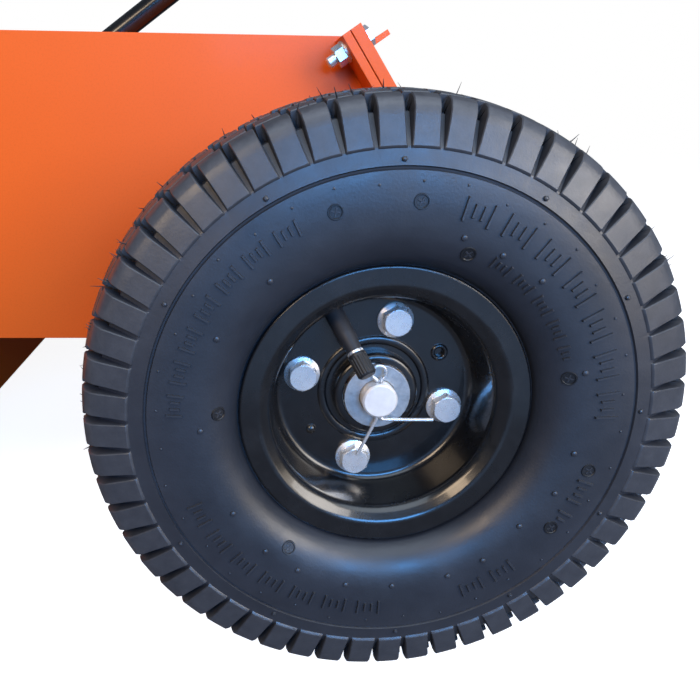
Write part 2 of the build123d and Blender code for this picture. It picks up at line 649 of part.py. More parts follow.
def upright(r, z0, z1, x=0.0, y=0.0):
    """A round bar standing about the crankshaft's line, or offset from it."""
    return rod(r, (BLADE_X + x, y, z0), (BLADE_X + x, y, z1))


def at_engine(x0, x1, y0, y1, z0, z1, radius=0.0):
    """A box about the crankshaft's line, in heights above the deck, with rounded upright edges."""
    shape = box(BLADE_X + x0, BLADE_X + x1, y0, y1, DECK_TOP + z0, DECK_TOP + z1)
    return fillet(shape.edges().filter_by(Axis.Z), radius) if radius else shape


def crankcase():
    h, d = CRANKCASE_H, ENGINE_BOLT_SPREAD / 2 + 16
    case = at_engine(-d, d, -d, d, 0, 10, 20) + upright(CRANKCASE_R, DECK_TOP + 5, DECK_TOP + h)
    case = chamfer(case.faces().sort_by(Axis.Z)[-1].edges(), 6)
    case += at_engine(20, CRANKCASE_R + 10, -44, 44, 14, h - 6)
    case -= upright(CRANKCASE_R - 16, DECK_TOP + 16, DECK_TOP + h - 14)
    case -= upright(CRANK_R + RUN_GAP, 0, 600)
    for x, y in engine_bolt_places():
        case -= rod(ENGINE_BOLT_R + 0.2, (x, y, DECK_TOP - 1), (x, y, DECK_TOP + 11))
    return case


def cylinder():
    """The finned barrel, pointing forward from the crankcase."""
    x0, x1 = CRANKCASE_R + 10, CRANKCASE_R + 10 + BARREL_L
    middle = CRANKCASE_H / 2 + 4
    barrel = rod(34, (BLADE_X + x0, 0, DECK_TOP + middle), (BLADE_X + x1, 0, DECK_TOP + middle))
    pitch = BARREL_L / FIN_COUNT
    for k in range(FIN_COUNT):
        fin = at_engine(x0 + k * pitch, x0 + k * pitch + 3, -50, 50, 10, 88)
        barrel += fillet(fin.edges().filter_by(Axis.X), 8)
    return barrel


def head_cover():
    x0 = CRANKCASE_R + 10 + BARREL_L
    cover = at_engine(x0, x0 + 20, -46, 46, 12, 86)
    cover = fillet(cover.edges().filter_by(Axis.X), 8)
    cover = fillet(cover.faces().sort_by(Axis.X)[-1].edges(), 4)
    return cover - plug_line(6.2, -30, 14)


def plug_line(r, start, end):
    """A bar along the spark plug's line, measured from the head cover's face."""
    x = BLADE_X + CRANKCASE_R + 10 + BARREL_L + 20
    return rod(r, (x + start, 22, DECK_TOP + 58), (x + end, 22, DECK_TOP + 58))


def spark_plug():
    plug = plug_line(6.2, -14, 0) + plug_line(3.4, 0, 30) + plug_line(5.5, 8, 18)
    x = BLADE_X + CRANKCASE_R + 10 + BARREL_L + 20
    return plug + hexagon(16, (x, 22, DECK_TOP + 58), (x + 8, 22, DECK_TOP + 58)) + plug_line(4.5, 30, 36)


def blower_housing():
    """The fan's cowl, open below, with the starter's dome and its rows of air slots on top."""
    z0, z1 = DECK_TOP + CRANKCASE_H, DECK_TOP + CRANKCASE_H + BLOWER_H
    cowl = upright(BLOWER_R, z0, z1)
    cowl = fillet(cowl.faces().sort_by(Axis.Z)[-1].edges(), 14)
    dome = upright(DOME_R, z1 - 2, z1 + DOME_H)
    cowl += fillet(dome.faces().sort_by(Axis.Z)[-1].edges(), 8)
    cowl -= fillet(upright(BLOWER_R - SHEET, z0 - 30, z1 - SHEET).faces().sort_by(Axis.Z)[-1].edges(), 11)
    cowl -= upright(DOME_R - SHEET, z0, z1 + DOME_H - SHEET)
    cowl += upright(BLOWER_R, z0, z0 + SHEET) - upright(FLOOR_HOLE_R, z0 - 1, z0 + 5)
    for k in range(AIR_SLOTS):
        turn = Pos(BLADE_X, 0, 0) * Rot(0, 0, 360 * k / AIR_SLOTS)
        cowl -= turn * box(22, DOME_R - 14, -2.5, 2.5, z1, z1 + DOME_H + 5)
    neck = rod(11, (BLADE_X - DOME_R - 4, 0, z1 + 11), (BLADE_X - DOME_R + 8, 0, z1 + 11))
    return cowl + neck - rod(5, (BLADE_X - DOME_R - 9, 0, z1 + 11), (BLADE_X - DOME_R + 12, 0, z1 + 11))


def recoil_handle():
    """The starter's T-grip, parked against its neck."""
    x, z = BLADE_X - DOME_R - 4 - TOUCH, DECK_TOP + CRANKCASE_H + BLOWER_H + 11
    grip = rod(8.5, (x - 10, -32, z), (x - 10, 32, z))
    grip = fillet(grip.edges().filter_by(GeomType.CIRCLE), 4)
    return grip + rod(7, (x - 12, 0, z), (x, 0, z)) + rod(3.5, (x - 2, 0, z), (x + 10, 0, z))


def fuel_tank():
    z = DECK_TOP + CRANKCASE_H
    y0, low, half = BLOWER_R + 1.5, CRANKCASE_H, TANK_L / 2
    tank = at_engine(-half, half, y0, y0 + TANK_W, low, low + TANK_H, 18)
    tank = fillet(tank.faces().sort_by(Axis.Z)[-1].edges(), 8)
    neck = upright(CAP_NECK_R, z + TANK_H - 2, z + TANK_H + 8, y=y0 + TANK_W / 2)
    inside = at_engine(4 - half, half - 4, y0 + 4, y0 + TANK_W - 4, low + 4, low + TANK_H - 4, 14)
    for x in (-50, 50):
        ear = at_engine(x - 12, x + 12, 20, y0 + 22, low - 14, low - 8) - upright(CRANKCASE_R, DECK_TOP, z)
        tank += ear + at_engine(x - 12, x + 12, y0 + 16, y0 + 22, low - 14, low + 4)
    return tank + neck - inside - upright(CAP_NECK_R - 4, z + 6, z + TANK_H + 20, y=y0 + TANK_W / 2)


def fuel_cap():
    z, y = DECK_TOP + CRANKCASE_H + TANK_H, BLOWER_R + 1.5 + TANK_W / 2
    cap = upright(CAP_R, z + 2, z + 20, y=y)
    cap = chamfer(cap.faces().sort_by(Axis.Z)[-1].edges(), 2)
    cap -= upright(CAP_NECK_R + TOUCH, z, z + 8 + TOUCH, y=y)
    for k in range(CAP_LOBES):
        a = 2 * pi * k / CAP_LOBES
        cap -= upright(3, z, z + 30, x=(CAP_R + 1.5) * cos(a), y=y + (CAP_R + 1.5) * sin(a))
    return cap


def carburetor():
    body = at_engine(20, 64, -BLOWER_R + 22, -52, 20, 70, 5)
    bowl = upright(15, DECK_TOP + 12, DECK_TOP + 21, x=42, y=-78)
    return body + bowl - upright(CRANKCASE_R, DECK_TOP, DECK_TOP + 200) - at_engine(0, 200, -44.1, 0, 0, 200)


def air_filter():
    """The filter's box, with louvres in its cover, beside the carburetor."""
    y0, y1 = -BLOWER_R - 68, -BLOWER_R + 22
    case = at_engine(0, 96, y0, y1, 14, 84, 12)
    case -= upright(CRANKCASE_R + 1, DECK_TOP, DECK_TOP + 200)
    for k in range(5):
        case -= at_engine(14, 82, y0 - 5, y0 + 2.5, 26 + 11 * k, 30 + 11 * k)
    return case


def muffler():
    """A pressed steel box ahead of the fuel tank, with slots in its guard and an outlet."""
    x0, y0 = CRANKCASE_R + 22, 56.0
    case = at_engine(x0, x0 + 92, y0, y0 + 70, 16, 84, 14)
    case += rod(11, (BLADE_X + x0 + 30, y0 - 6, DECK_TOP + 50), (BLADE_X + x0 + 30, y0 + 2, DECK_TOP + 50))
    for k in range(6):
        case -= at_engine(x0 + 14 + 12 * k, x0 + 19 + 12 * k, y0 + 66, y0 + 80, 26, 74)
    return case


def engine_bolts():
    bolts = []
    for x, y in engine_bolt_places():
        bolt = rod(ENGINE_BOLT_R, (x, y, DECK_TOP - 18), (x, y, DECK_TOP + 10))
        bolts.append(bolt + hexagon(13, (x, y, DECK_TOP + 10), (x, y, DECK_TOP + 16)))
        nut = hexagon(13, (x, y, DECK_TOP - SIDE_T - 7), (x, y, DECK_TOP - SIDE_T))
        bolts.append(nut - rod(ENGINE_BOLT_R, (x, y, 0), (x, y, 400)))
    return group(bolts)


# ---- what the engine turns ---------------------------------------------------------------------------
def crankshaft():
    top = DECK_TOP + CRANKCASE_H + BLOWER_H - 16
    shaft = upright(CRANK_R, BLADE_Z + BLADE_T + 4, top)
    shaft += upright(CRANKCASE_R - 26, DECK_TOP + 40, DECK_TOP + 52)
    return shaft


def flywheel():
    """The finned fan and magnet ring on top of the shaft."""
    z = DECK_TOP + CRANKCASE_H + 6
    wheel = upright(FLYWHEEL_R, z, z + 10)
    for k in range(FAN_BLADES):
        turn = Pos(BLADE_X, 0, 0) * Rot(0, 0, 360 * k / FAN_BLADES)
        wheel += turn * box(FLYWHEEL_R - 34, FLYWHEEL_R - 2, -2, 2, z + 8, z + 34)
    return wheel + upright(26, z, z + 30) - upright(CRANK_R, z - 1, z + 60)


def blade_hub():
    """The hub clamped on the shaft's end, with its flange above the blade."""
    z = BLADE_Z + BLADE_T
    hub = upright(BLADE_HUB_R, z, z + 40) + upright(BLADE_HUB_R + 22, z, z + 8)
    hub -= upright(CRANK_R, z + 4, z + 60)
    return hub - upright(BLADE_BOLT_R, z - 1, z + 5) + upright(BLADE_BOLT_R, z - 14, z + 4) + hexagon(
        24, (BLADE_X, 0, BLADE_Z - 10), (BLADE_X, 0, BLADE_Z))


def blade():
    """A heavy straight blade with bevelled leading edges and lifted trailing edges."""
    bar = box(BLADE_X - BLADE_R, BLADE_X + BLADE_R, -BLADE_W / 2, BLADE_W / 2, BLADE_Z, BLADE_Z + BLADE_T)
    bar &= upright(BLADE_R, 0, 400)
    half, top = BLADE_W / 2, BLADE_Z + BLADE_T
    for turn in (0, 180):
        bevel = [(-half - 1, BLADE_Z - 1), (-half - 1, top + 1), (14 - half, top + 1)]
        edge = side_profile(bevel, 120, BLADE_R + 5)
        lift = [(half - 22, top), (half, top), (half, top + 16), (half - 4, top + 16)]
        wing = side_profile(lift, 150, 225)
        place = Pos(BLADE_X, 0, 0) * Rot(0, 0, turn + 90)
        bar = bar - place * edge + place * wing
    return bar - upright(BLADE_BOLT_R, 0, 400)


# ---- handlebar ---------------------------------------------------------------------------------------
def slope_point(x):
    """Height of the straight part of the handlebar at x."""
    return PIVOT_Z + (PIVOT_X - x) * tan(radians(HANDLE_SLOPE))


def fold_pin(r, y0, y1):
    """A bar along the handlebar's folding axis."""
    z = slope_point(FOLD_X)
    return rod(r, (FOLD_X, y0, z), (FOLD_X, y1, z))


def lower_handle():
    """Two straight tubes from the deck's brackets to the fold, with a cross brace."""
    rise = Vector(-cos(radians(HANDLE_SLOPE)), 0, sin(radians(HANDLE_SLOPE)))
    foot, top = Vector(PIVOT_X, 0, PIVOT_Z) - rise * 18, Vector(FOLD_X, 0, slope_point(FOLD_X)) + rise * 22
    frame = rod(9.5, (BRACE_X, -LOWER_Y, slope_point(BRACE_X)), (BRACE_X, LOWER_Y, slope_point(BRACE_X)))
    for y in (LOWER_Y, -LOWER_Y):
        across = Vector(0, y, 0)
        frame += rod(TUBE_R, foot + across, top + across)
    for y in (LOWER_Y, -LOWER_Y):
        across = Vector(0, y, 0)
        frame -= rod(TUBE_R - TUBE_T, foot + across - rise, top + across + rise)
        frame -= rod(BRACKET_BOLT_R, (PIVOT_X, y - 40, PIVOT_Z), (PIVOT_X, y + 40, PIVOT_Z))
        frame -= fold_pin(FOLD_BOLT_R + RUN_GAP, y - 20, y + 20)
    return frame


def handle_bolts():
    """The bolts that hold the handlebar's feet in their brackets."""
    bolts = []
    reach = TUBE_R + 0.1 + BRACKET_T
    for y in (LOWER_Y, -LOWER_Y):
        shank = rod(BRACKET_BOLT_R, (PIVOT_X, y - reach - 10, PIVOT_Z), (PIVOT_X, y + reach, PIVOT_Z))
        bolts.append(shank + hexagon(13, (PIVOT_X, y + reach, PIVOT_Z), (PIVOT_X, y + reach + 5.5, PIVOT_Z)))
        nut = hexagon(13, (PIVOT_X, y - reach - 7, PIVOT_Z), (PIVOT_X, y - reach, PIVOT_Z))
        bolts.append(nut - rod(BRACKET_BOLT_R, (PIVOT_X, y - 60, PIVOT_Z), (PIVOT_X, y, PIVOT_Z)))
    return group(bolts)


def grip_line():
    """The two ends of the grips' straight part, at y = 0."""
    knee, lean = Vector(KNEE_X, 0, slope_point(KNEE_X)), radians(GRIP_SLOPE)
    run = REAR_REACH - GRIP_R * sin(lean) + KNEE_X
    return knee, knee + Vector(-run, 0, run * tan(lean))


def upper_handle():
    """Tubes inside the lower pair, bent flatter towards the grips, with a cross bar and control lugs."""
    rise = Vector(-cos(radians(HANDLE_SLOPE)), 0, sin(radians(HANDLE_SLOPE)))
    foot = Vector(FOLD_X, 0, slope_point(FOLD_X)) - rise * 24
    knee, end = grip_line()
    end = end - (end - knee).normalized() * 3
    bar_z = slope_point(CROSSBAR_X)
    frame = rod(9.5, (CROSSBAR_X, -UPPER_Y, bar_z), (CROSSBAR_X, UPPER_Y, bar_z))
    tubes, hollows = [], []
    past = end + (end - knee).normalized()
    for y in (UPPER_Y, -UPPER_Y):
        tubes.append(bent_tube([(p.X, y, p.Z) for p in (foot, knee, end)], [90], TUBE_R))
        hollows.append(bent_tube([(p.X, y, p.Z) for p in (foot - rise, knee, past)], [90], TUBE_R - TUBE_T))
        frame += side_profile(lug_outline(), y - LUG_T / 2, y + LUG_T / 2)
    frame = frame + tubes - hollows
    frame -= rod(BAIL_R + RUN_GAP, (BAIL_X, -400, BAIL_Z), (BAIL_X, 400, BAIL_Z))
    for y in (UPPER_Y, -UPPER_Y):
        frame -= fold_pin(FOLD_BOLT_R + RUN_GAP, y - 20, y + 20)
    x, z = THROTTLE_X, slope_point(THROTTLE_X)
    return frame - rod(THROTTLE_PIN_R + RUN_GAP, (x, -UPPER_Y, z), (x, -UPPER_Y + 40, z))


def lug_outline():
    """Upright lug on the handlebar that carries the bail's pivot."""
    x, top = BAIL_X, BAIL_Z + 7
    return [(x - 12, BAIL_Z - 26), (x - 8, top), (x + 8, top), (x + 12, BAIL_Z - 34)]


def grips():
    knee, end = grip_line()
    way = (end - knee).normalized()
    sleeves = []
    for y in (UPPER_Y, -UPPER_Y):
        across = Vector(0, y, 0)
        start = end + across - way * GRIP_LENGTH
        sleeve = rod(GRIP_R, start, end + across) + rod(GRIP_R + 4, start, start + way * 5)
        for k in range(GRIP_RINGS):
            spot = start + way * (14 + k * 9)
            sleeve -= rod(GRIP_R + 2, spot, spot + way * 2) - rod(GRIP_R - 1.2, spot - way, spot + way * 3)
        sleeves.append(sleeve - rod(TUBE_R, start - way, end + across - way * 3))
    return group(sleeves)


def bail_lever():
    """A bent rod across the handlebar: pivot ends in the lugs, arms back over the grips, and a hand bar."""
    side = UPPER_Y - LUG_T / 2 - 8
    knee, end = grip_line()
    slope = (end - knee).normalized()
    back = Vector(BAIL_X, 0, BAIL_Z) + slope * BAIL_REACH + Vector(0, 0, BAIL_LIFT)
    arms = [(BAIL_X, UPPER_Y + 14, BAIL_Z), (BAIL_X, side, BAIL_Z), (back.X, side, back.Z),
            (back.X, -side, back.Z), (BAIL_X, -side, BAIL_Z), (BAIL_X, -UPPER_Y - 14, BAIL_Z)]
    return bent_tube(arms, [7, 20, 20, 7], BAIL_R)


def throttle_lever():
    """A plate lever with a round knob, on a pin at the right tube's inner side."""
    x, z, y = THROTTLE_X, slope_point(THROTTLE_X), -UPPER_Y
    outline = [(x - 9, z - 7), (x + 5, z + 60), (x + 15, z + 58), (x + 9, z - 7)]
    plate = side_profile(outline, y + TUBE_R + 2, y + TUBE_R + 5)
    knob = rod(8, (x + 10, y + TUBE_R - 6, z + 60), (x + 10, y + TUBE_R + 14, z + 60))
    return plate + knob + rod(THROTTLE_PIN_R, (x, y + 4, z), (x, y + TUBE_R + 9, z))


def fold_knob():
    """A star knob with its bolt through both tubes of the left fold, and the bolt's cap inside."""
    x, z = FOLD_X, slope_point(FOLD_X)
    outside, inside = LOWER_Y + TUBE_R + TOUCH, UPPER_Y - TUBE_R - TOUCH
    bolt = rod(FOLD_BOLT_R, (x, inside - 5, z), (x, outside + 2, z))
    knob = rod(KNOB_R, (x, outside, z), (x, outside + 16, z))
    knob = fillet(knob.edges().filter_by(GeomType.CIRCLE).sort_by(Axis.Y)[-1], 4)
    for k in range(KNOB_LOBES):
        a = 2 * pi * k / KNOB_LOBES
        dx, dz = (KNOB_R + 3) * cos(a), (KNOB_R + 3) * sin(a)
        knob -= rod(6.5, (x + dx, outside - 1, z + dz), (x + dx, outside + 20, z + dz))
    return bolt + knob + hexagon(13, (x, inside - 5, z), (x, inside, z))


# ---- assembly ----------------------------------------------------------------------------------------
def at_caster(shape, side):
    shape = shape if side > 0 else mirror(shape, about=Plane.XZ)
    return Pos(CASTER_PIVOT, side * CASTER_Y, 0) * shape


def all_nodes():
    """Every node by name, with x = 0 at the rear axle."""
    left = side_plate()
    nodes = {
        "side_plate_left": left, "side_plate_right": mirror(left, about=Plane.XZ), "rear_wall": rear_wall(),
        "deck_top": deck_top(), "skid_shoes": skid_shoes(), "front_guard": front_guard(),
        "front_hinge_rod": front_hinge_rod(), "caster_frame": caster_frame(), "axle_tube": axle_tube(),
        "axle_rod": axle_rod(), "axle_washers": axle_washers(), "cotter_pins": cotter_pins(),
        "seam_bolts": seam_hardware(0), "seam_nuts": seam_hardware(1), "crankcase": crankcase(),
        "cylinder": cylinder(), "head_cover": head_cover(), "spark_plug": spark_plug(),
        "blower_housing": blower_housing(), "recoil_handle": recoil_handle(), "fuel_tank": fuel_tank(),
        "fuel_cap": fuel_cap(), "carburetor": carburetor(), "air_filter": air_filter(), "muffler": muffler(),
        "engine_bolts": engine_bolts(), "crankshaft": crankshaft(), "flywheel": flywheel(),
        "blade_hub": blade_hub(),
        "blade": blade(), "lower_handle": lower_handle(), "handle_bolts": handle_bolts(),
        "upper_handle": upper_handle(), "grips": grips(), "bail_lever": bail_lever(),
        "throttle_lever": throttle_lever(),
    }
    wheel = {
        "tyre": tyre(), "inner_tube": inner_tube(), "rim_outer": rim_outer(), "rim_inner": rim_inner(),
        "rim_bolts": rim_bolts(), "wheel_bearings": wheel_bearings(), "valve_stem": valve_stem(),
        "valve_cap": valve_cap(),
    }
    for name, shape in wheel.items():
        nodes[name + "_left"], nodes[name + "_right"] = at_both_wheels(shape)
    knob, far_knob = both_sides(fold_knob())
    nodes["fold_knob_left"], nodes["fold_knob_right"] = knob, far_knob
    hub = Pos(-CASTER_TRAIL, 0, CASTER_R)
    for side, name in ((1, "left"), (-1, "right")):
        nodes["caster_fork_" + name] = group([at_caster(s, side) for s in caster_fork()])
        nodes["caster_rim_" + name] = at_caster(hub * caster_rim(), side)
        nodes["caster_tyre_" + name] = at_caster(hub * caster_tyre(), side)
    return nodes


os.makedirs("parts", exist_ok=True)
for node, solid in all_nodes().items():
    export_step(Pos(AXLE_X, 0, 0) * solid, f"parts/{node}.step")
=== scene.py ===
"""Looks of the walk-behind brush mower: tyres, valve collars, materials, floor, light and camera.
Metres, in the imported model's frame: +X forward, +Y left, +Z up."""

import json
from math import cos, degrees, pi, radians, sin

import bmesh
import bpy
import numpy as np
from mathutils import Matrix, Vector


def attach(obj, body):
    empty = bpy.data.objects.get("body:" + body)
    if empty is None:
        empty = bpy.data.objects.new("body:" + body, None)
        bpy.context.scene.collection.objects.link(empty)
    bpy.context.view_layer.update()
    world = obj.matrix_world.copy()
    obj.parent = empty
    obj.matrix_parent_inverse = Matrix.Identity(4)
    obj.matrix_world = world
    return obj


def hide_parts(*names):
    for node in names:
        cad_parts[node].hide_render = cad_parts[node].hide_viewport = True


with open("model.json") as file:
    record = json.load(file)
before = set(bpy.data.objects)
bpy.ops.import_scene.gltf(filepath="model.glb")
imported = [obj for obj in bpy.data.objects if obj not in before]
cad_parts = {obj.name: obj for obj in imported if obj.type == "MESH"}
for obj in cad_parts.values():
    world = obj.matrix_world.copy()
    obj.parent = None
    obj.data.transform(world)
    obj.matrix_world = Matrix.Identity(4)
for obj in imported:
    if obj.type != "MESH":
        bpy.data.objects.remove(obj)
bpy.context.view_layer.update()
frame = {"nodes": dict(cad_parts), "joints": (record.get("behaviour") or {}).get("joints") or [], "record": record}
MM = 0.001
nodes = frame["nodes"]


def joint_place(name):
    """The point on a joint's axis, from the frame."""
    found = next(j for j in frame["joints"] if j["name"] == name)
    return Vector(found["pos_m"])


# ---- node-based materials -------------------------------------------------------------------------
class Look:
    """A material under construction: a Principled shader and helpers that add nodes to it."""

    def __init__(self, name):
        self.material = bpy.data.materials.new(name)
        self.material.use_nodes = True
        self.tree = self.material.node_tree
        self.shader = self.tree.nodes["Principled BSDF"]
        self.space = self.tree.nodes.new("ShaderNodeTexCoord").outputs["Object"]

    def set(self, **values):
        """Numbers and colours that are the same all over, on the shader's own sockets."""
        for key, value in values.items():
            socket = self.shader.inputs[key.replace("_", " ")]
            socket.default_value = (*value, 1.0) if isinstance(value, tuple) and len(value) == 3 else value
        return self

    def noise(self, scale, detail=4.0, rough=0.55, stretch=(1, 1, 1), kind="Fac"):
        """Noise at a number of cells per metre."""
        spread = self.tree.nodes.new("ShaderNodeMapping")
        spread.inputs["Scale"].default_value = stretch
        self.tree.links.new(self.space, spread.inputs["Vector"])
        node = self.tree.nodes.new("ShaderNodeTexNoise")
        node.inputs["Scale"].default_value = scale
        node.inputs["Detail"].default_value = detail
        node.inputs["Roughness"].default_value = rough
        self.tree.links.new(spread.outputs["Vector"], node.inputs["Vector"])
        return node.outputs[kind]

    def cells(self, scale, feature="F1"):
        node = self.tree.nodes.new("ShaderNodeTexVoronoi")
        node.feature = feature
        node.inputs["Scale"].default_value = scale
        self.tree.links.new(self.space, node.inputs["Vector"])
        return node.outputs["Distance"]

    def attribute(self, name):
        node = self.tree.nodes.new("ShaderNodeAttribute")
        node.attribute_name = name
        return node.outputs["Fac"]

    def ramp(self, source, *stops):
        """A colour ramp through (position, colour or grey) stops."""
        node = self.tree.nodes.new("ShaderNodeValToRGB")
        elements = node.color_ramp.elements
        while len(elements) < len(stops):
            elements.new(0.5)
        for element, (at, colour) in zip(elements, stops):
            element.position = at
            element.color = (*colour, 1) if isinstance(colour, tuple) else (colour, colour, colour, 1)
        self.tree.links.new(source, node.inputs["Fac"])
        return node.outputs["Color"]

    def mix(self, a, b, factor, mode="MIX"):
        """Mixes two colours; each is a socket or a constant."""
        node = self.tree.nodes.new("ShaderNodeMix")
        node.data_type = "RGBA"
        node.blend_type = mode
        for key, value in (("A", a), ("B", b)):
            socket = next(s for s in node.inputs if s.name == key and s.type == "RGBA")
            if isinstance(value, tuple):
                socket.default_value = (*value, 1)
            else:
                self.tree.links.new(value, socket)
        if isinstance(factor, float):
            node.inputs["Factor"].default_value = factor
        else:
            self.tree.links.new(factor, node.inputs["Factor"])
        return next(s for s in node.outputs if s.type == "RGBA")

    def sums(self, a, b, operation="ADD"):
        node = self.tree.nodes.new("ShaderNodeMath")
        node.operation = operation
        for socket, value in zip(node.inputs, (a, b)):
            if isinstance(value, (int, float)):
                socket.default_value = value
            else:
                self.tree.links.new(value, socket)
        return node.outputs["Value"]

    def link(self, key, source):
        self.tree.links.new(source, self.shader.inputs[key.replace("_", " ")])
        return self

    def bump(self, height, depth, strength=1.0, edge=0.0):
        """Bump from a height socket, depth in metres; edge rounds sharp edges by that radius."""
        node = self.tree.nodes.new("ShaderNodeBump")
        node.inputs["Distance"].default_value = depth
        node.inputs["Strength"].default_value = strength
        self.tree.links.new(height, node.inputs["Height"])
        if edge:
            bevel = self.tree.nodes.new("ShaderNodeBevel")
            bevel.samples = 4
            bevel.inputs["Radius"].default_value = edge
            self.tree.links.new(bevel.outputs["Normal"], node.inputs["Normal"])
        self.tree.links.new(node.outputs["Normal"], self.shader.inputs["Normal"])
        return self


def powder_coat(name, colour, shade, rough, coat, gloss):
    """Powder coat: slight orange peel, faint uneven tone, softened edges."""
    look = Look(name).set(Roughness=rough, Coat_Weight=coat, Coat_Roughness=0.12, Specular_IOR_Level=gloss)
    tone = look.ramp(look.noise(9, 3), (0.3, colour), (0.75, shade))
    speck = look.ramp(look.noise(900, 2), (0.36, 0.93), (0.5, 1.0))
    body = look.mix(tone, speck, 0.6, "MULTIPLY")
    look.link("Base_Color", body)
    peel = look.noise(420, 2, 0.5)
    return look.bump(peel, 0.00008, 0.55, edge=0.0006).material


def gloss_black():
    """Glossy black enamel on pressed steel, with a faint film of dust."""
    look = Look("black_enamel").set(Coat_Weight=0.5, Coat_Roughness=0.07, Specular_IOR_Level=0.5)
    dust = look.ramp(look.noise(60, 6, 0.7), (0.45, (0.0035, 0.0037, 0.0045)), (0.8, (0.011, 0.011, 0.012)))
    look.link("Base_Color", dust)
    look.link("Roughness", look.ramp(look.noise(45, 5, 0.65), (0.3, 0.20), (0.8, 0.33)))
    return look.bump(look.noise(300, 2), 0.00005, 0.35, edge=0.0008).material


def zinc():
    """Bright zinc plating, slightly clouded, with a fine grain."""
    look = Look("bright_zinc").set(Metallic=0.75)
    cloud = look.noise(160, 5, 0.6)
    stops = ((0.25, (0.74, 0.76, 0.79)), (0.6, (0.86, 0.85, 0.84)), (0.8, (0.83, 0.81, 0.78)))
    look.link("Base_Color", look.ramp(cloud, *stops))
    look.link("Roughness", look.ramp(look.noise(420, 4), (0.3, 0.24), (0.75, 0.34)))
    return look.bump(look.noise(1500, 3), 0.00003, 0.5, edge=0.0004).material


def dull_zinc():
    """Matt zinc on stamped washers."""
    look = Look("matt_zinc").set(Metallic=1.0)
    stops = ((0.3, (0.38, 0.38, 0.38)), (0.7, (0.58, 0.58, 0.57)))
    look.link("Base_Color", look.ramp(look.noise(260, 6, 0.7), *stops))
    look.link("Roughness", look.ramp(look.noise(500, 4), (0.3, 0.42), (0.75, 0.6)))
    return look.bump(look.noise(1800, 3), 0.00003, 0.5, edge=0.0004).material


def machined():
    """Turned steel: fine grain and light stains."""
    look = Look("machined_steel").set(Metallic=0.4)
    stops = ((0.3, (0.80, 0.73, 0.66)), (0.7, (0.95, 0.87, 0.79)))
    look.link("Base_Color", look.ramp(look.noise(220, 6, 0.7), *stops))
    look.link("Roughness", look.ramp(look.noise(900, 3), (0.3, 0.34), (0.75, 0.55)))
    return look.bump(look.noise(2400, 2), 0.00003, 0.6, edge=0.0004).material


def tyre_rubber():
    """Moulded tyre rubber: blue-black, dusty where the dust attribute is high; its low values on gap, sipe and
    groove floors are painted shade, and where it is negative, on the mould screw prints, the colour goes near
    black as painted shade.
    """
    look = Look("moulded_rubber").set(Specular_IOR_Level=0.62)
    base = look.ramp(look.noise(26, 6, 0.65), (0.3, (0.010, 0.012, 0.017)), (0.72, (0.020, 0.023, 0.031)))
    dusty = look.ramp(look.noise(150, 6, 0.75), (0.3, (0.042, 0.042, 0.046)), (0.75, (0.085, 0.084, 0.088)))
    dust = look.attribute("dust")
    # painted shade: a negative dust attribute, on the mould screw prints, mixes the colour towards near black
    print_shade = look.sums(dust, -1.4, "MULTIPLY")
    look.link("Base_Color", look.mix(look.mix(base, dusty, dust), (0.002, 0.002, 0.003), print_shade))
    look.link("Roughness", look.ramp(look.noise(70, 5, 0.6), (0.3, 0.34), (0.75, 0.50)))
    fine = look.sums(look.noise(900, 3, 0.6), look.noise(120, 3, 0.5))
    return look.bump(fine, 0.00012, 0.5).material


def plain_rubber(name, colour, rough):
    look = Look(name).set(Specular_IOR_Level=0.4)
    lighter = tuple(c * 1.7 for c in colour)
    look.link("Base_Color", look.ramp(look.noise(120, 5, 0.65), (0.35, colour), (0.8, lighter)))
    look.link("Roughness", look.ramp(look.noise(200, 4), (0.3, rough - 0.06), (0.75, rough + 0.08)))
    return look.bump(look.noise(1400, 3), 0.00006, 0.6, edge=0.0005).material


def moulded_plastic(name, colour, rough):
    look = Look(name).set(Specular_IOR_Level=0.45)
    stops = ((0.3, colour), (0.8, tuple(c * 1.4 for c in colour)))
    look.link("Base_Color", look.ramp(look.noise(60, 4), *stops))
    look.link("Roughness", look.ramp(look.noise(300, 3), (0.3, rough - 0.05), (0.75, rough + 0.06)))
    return look.bump(look.cells(1600), 0.00005, 0.5, edge=0.0006).material


def cast_metal():
    """Sand-cast aluminium: pale grey, grainy."""
    look = Look("cast_aluminium").set(Metallic=0.85)
    stops = ((0.3, (0.36, 0.37, 0.38)), (0.75, (0.52, 0.53, 0.54)))
    look.link("Base_Color", look.ramp(look.noise(90, 6, 0.7), *stops))
    look.link("Roughness", look.ramp(look.noise(400, 4), (0.3, 0.42), (0.75, 0.6)))
    return look.bump(look.noise(1100, 3, 0.65), 0.0002, 0.6, edge=0.0012).material


def muffler_steel():
    """Aluminised steel, heat-tinted brown in places."""
    look = Look("heated_steel").set(Metallic=1.0)
    stops = ((0.3, (0.34, 0.33, 0.33)), (0.62, (0.30, 0.25, 0.20)), (0.85, (0.17, 0.13, 0.12)))
    look.link("Base_Color", look.ramp(look.noise(28, 5, 0.6), *stops))
    look.link("Roughness", look.ramp(look.noise(300, 4), (0.3, 0.38), (0.75, 0.62)))
    return look.bump(look.noise(1200, 3), 0.00006, 0.6, edge=0.0008).material


def ceramic():
    look = Look("glazed_ceramic").set(Coat_Weight=0.5, Roughness=0.3)
    stops = ((0.3, (0.72, 0.70, 0.64)), (0.8, (0.80, 0.78, 0.73)))
    look.link("Base_Color", look.ramp(look.noise(200, 3), *stops))
    return look.bump(look.noise(600, 2), 0.00003, 0.3, edge=0.0004).material


